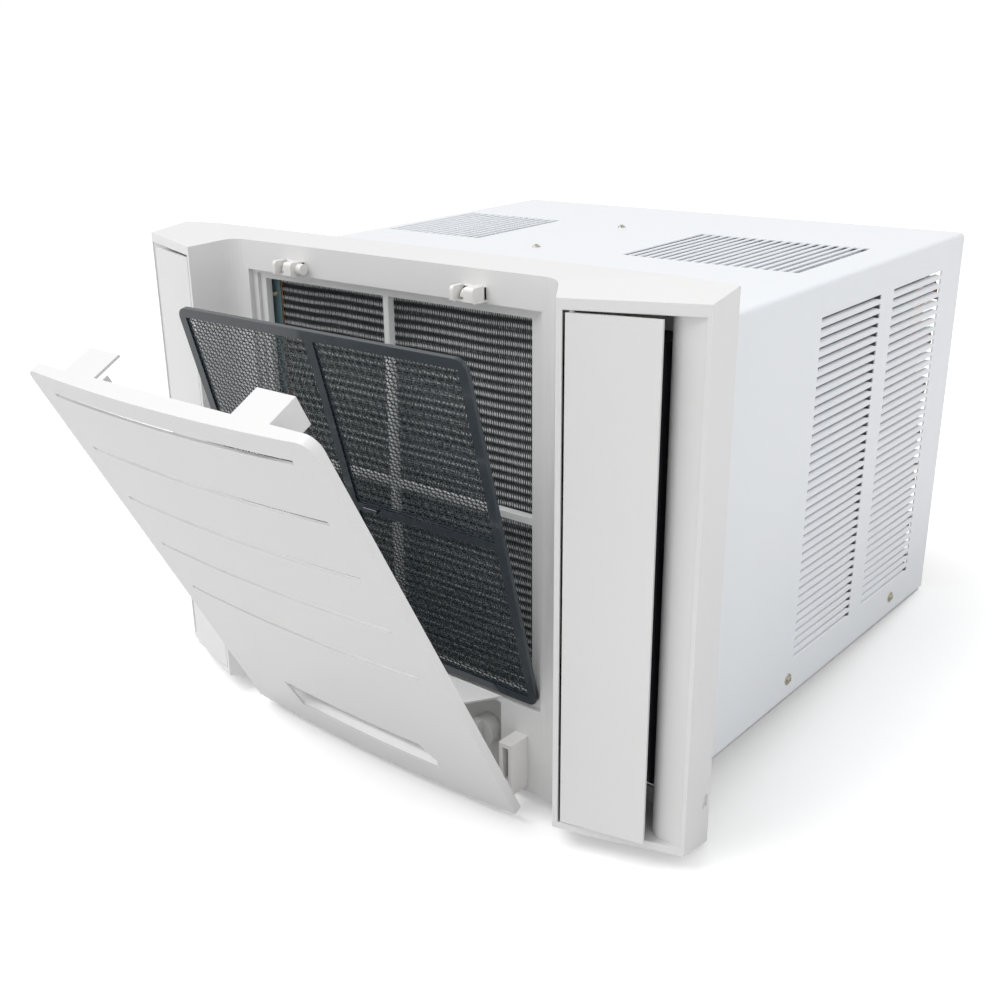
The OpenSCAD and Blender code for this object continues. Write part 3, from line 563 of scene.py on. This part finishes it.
def latch(node, peg):
    """Snap latch: a shelf, two cheeks, a finger between them and a dark plate of painted shade at the back of the
    hollow between the cheeks.

    One latch also has a round peg.
    """
    low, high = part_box(node)
    x0, y0, z0 = low
    y1, z1 = high.y, high.z
    bm = bmesh.new()
    add_box(bm, (x0 + 1 * MM, x0 + LATCH_WIDE - 1 * MM), (y1 - 3 * MM, y1), (z0, z1 - 1 * MM))
    add_box(bm, (x0, x0 + LATCH_WIDE), (y0 + 5 * MM, y1), (z0, z0 + 1.8 * MM))
    nose = quarter(y0 + 3 * MM, z1 - 4 * MM, 2.9 * MM, 4 * MM, 180, 90)
    foot = [(y1, z0), (y0 + 1.5 * MM, z0), (y0 + 0.1 * MM, z0 + 1.5 * MM)]
    cheek = [*foot, *nose, (y1 - 4 * MM, z1), (y1, z1 - 1.5 * MM)]
    for start, thick in LATCH_CHEEKS:
        add_plate(bm, cheek, x0 + start, x0 + start + thick)
    finger = quarter(y1 - 5 * MM, z0 + 3 * MM, 6.0 * MM, 7.0 * MM, 20, 175)
    add_plate(bm, finger, x0 + 6.5 * MM, x0 + 13 * MM)
    if peg:
        centre = ((y0 + y1) / 2 + 1 * MM, z0 + 6.5 * MM)
        rim = quarter(*centre, 5 * MM, 5 * MM, 0, 360, 24)[:-1]
        add_plate(bm, rim, x0 + 18 * MM, high.x)
    # Painted shade: a thin dark plate, not a hole, stands in for the shadow in the hollow between the cheeks
    recess = bmesh.new()
    back = (y1 - 3.6 * MM, y1 - 3.1 * MM)
    add_box(recess, (x0 + 4.6 * MM, x0 + 14.9 * MM), back, (z0 + 2 * MM, z1 - 2 * MM))
    piece(node + "_recess", recess, "duct_plastic", "chassis")
    obj = piece(node + "_snap", bm, "bracket_plastic", "chassis", replaced=(node,), smooth=35)
    bevel = obj.modifiers.new("bevel", "BEVEL")
    bevel.width = 0.35 * MM
    bevel.segments = 2
    bevel.limit_method = "ANGLE"
    return obj


latch("latch_left", True)
latch("latch_right", False)


# ---------------------------------------------------------------- cover strips beside the evaporator
def evaporator_cheeks():
    low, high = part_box("evaporator_fins")
    bm = bmesh.new()
    for side in (-1, 1):
        inner = side * (high.x + 0.3 * MM)
        outer = side * (high.x + 15 * MM)
        span = (min(inner, outer), max(inner, outer))
        add_box(bm, span, (low.y - 1.2 * MM, low.y - 0.2 * MM), (low.z, high.z))
        fold = sorted((outer, outer - side * MM))
        add_box(bm, fold, (low.y - 1 * MM, low.y + 9 * MM), (low.z, high.z))
    return piece("evaporator_cheeks", bm, "teal_paint", "chassis")


def cheek_screws():
    low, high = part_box("evaporator_fins")
    places = []
    for z in (low.z + 12 * MM, high.z - 14 * MM):
        spot = Matrix.Translation((-high.x - 8 * MM, low.y - 1.2 * MM, z))
        places.append(spot @ Matrix.Rotation(pi / 2, 4, "X"))
    bm = bmesh.new()
    for place in places:
        add_screw(bm, place, 3.6 * MM)
    return piece("cheek_screws", bm, "screw_zinc", "chassis", smooth=30)


evaporator_cheeks()
cheek_screws()

# ---------------------------------------------------------------- rounded edges of mouldings
EDGE_RADII = (
    (0.7 * MM, ("fascia", "grille_panel", "flap_left", "flap_right", "intake_grid")),
    (0.5 * MM, ("hinge_bracket_left", "hinge_bracket_right", "filter_frame")),
    (0.5 * MM, ("knob_mode", "knob_thermostat", "control_plate", "vent_lever")),
)
for radius, nodes in EDGE_RADII:
    for node in nodes:
        soften(node, radius)


# ---------------------------------------------------------------- floor, light and camera
def make_floor():
    """The unit stands on the fascia's lower edge and the pan's rear edge, so the floor slopes."""
    fascia_low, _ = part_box("fascia")
    _, pan_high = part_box("base_pan")
    rise = -fascia_low.z
    slope = atan2(rise, pan_high.y)
    bm = bmesh.new()
    bmesh.ops.create_grid(bm, x_segments=2, y_segments=2, size=30)
    mesh = bpy.data.meshes.new("floor")
    bm.to_mesh(mesh)
    bm.free()
    floor = bpy.data.objects.new("floor", mesh)
    floor.data.materials.append(floor_white())
    floor.location = (0, 0, fascia_low.z - 0.1 * MM)
    floor.rotation_euler = (slope, 0, 0)
    bpy.context.scene.collection.objects.link(floor)
    return floor


def sun_light(name, toward, strength, spread):
    """A broad, distant softbox. toward points at it, and spread is its width in degrees."""
    light = bpy.data.lights.new(name, "SUN")
    light.energy = strength
    light.angle = radians(spread)
    obj = bpy.data.objects.new(name, light)
    obj.rotation_euler = Vector(toward).to_track_quat("Z", "Y").to_euler()
    bpy.context.scene.collection.objects.link(obj)
    return obj


def make_world():
    """Even studio light, with a pure white cyclorama where the camera sees past the floor."""
    world = bpy.data.worlds.new("studio")
    world.use_nodes = True
    tree = world.node_tree
    room = tree.nodes["Background"]
    room.inputs["Color"].default_value = (1.0, 1.0, 1.0, 1.0)
    room.inputs["Strength"].default_value = 0.7
    backdrop = tree.nodes.new("ShaderNodeBackground")
    backdrop.inputs["Color"].default_value = (1.0, 1.0, 1.0, 1.0)
    backdrop.inputs["Strength"].default_value = 1.0
    seen = tree.nodes.new("ShaderNodeLightPath")
    mix = tree.nodes.new("ShaderNodeMixShader")
    tree.links.new(seen.outputs["Is Camera Ray"], mix.inputs["Fac"])
    tree.links.new(room.outputs["Background"], mix.inputs[1])
    tree.links.new(backdrop.outputs["Background"], mix.inputs[2])
    tree.links.new(mix.outputs["Shader"], tree.nodes["World Output"].inputs["Surface"])
    bpy.context.scene.world = world


def make_camera():
    """A camera at the photograph's place, with the photograph's lens and shift."""
    data = bpy.data.cameras.new("camera")
    data.sensor_width = 36
    data.lens = 44.777
    data.shift_x = 0.0697
    data.shift_y = 0.0186
    data.clip_end = 100
    camera = bpy.data.objects.new("camera", data)
    camera.location = (738.94 * MM, -794.96 * MM, 607.98 * MM)
    camera.rotation_euler = Euler((radians(68.615), radians(1.695), radians(41.852)))
    bpy.context.scene.collection.objects.link(camera)
    bpy.context.scene.camera = camera


make_floor()
make_world()
sun_light("key", (-0.5, -0.4, 1.0), 1.7, 45)
sun_light("fill", (1.0, -0.1, 0.7), 0.35, 80)
make_camera()
bpy.context.scene.view_settings.view_transform = "Standard"
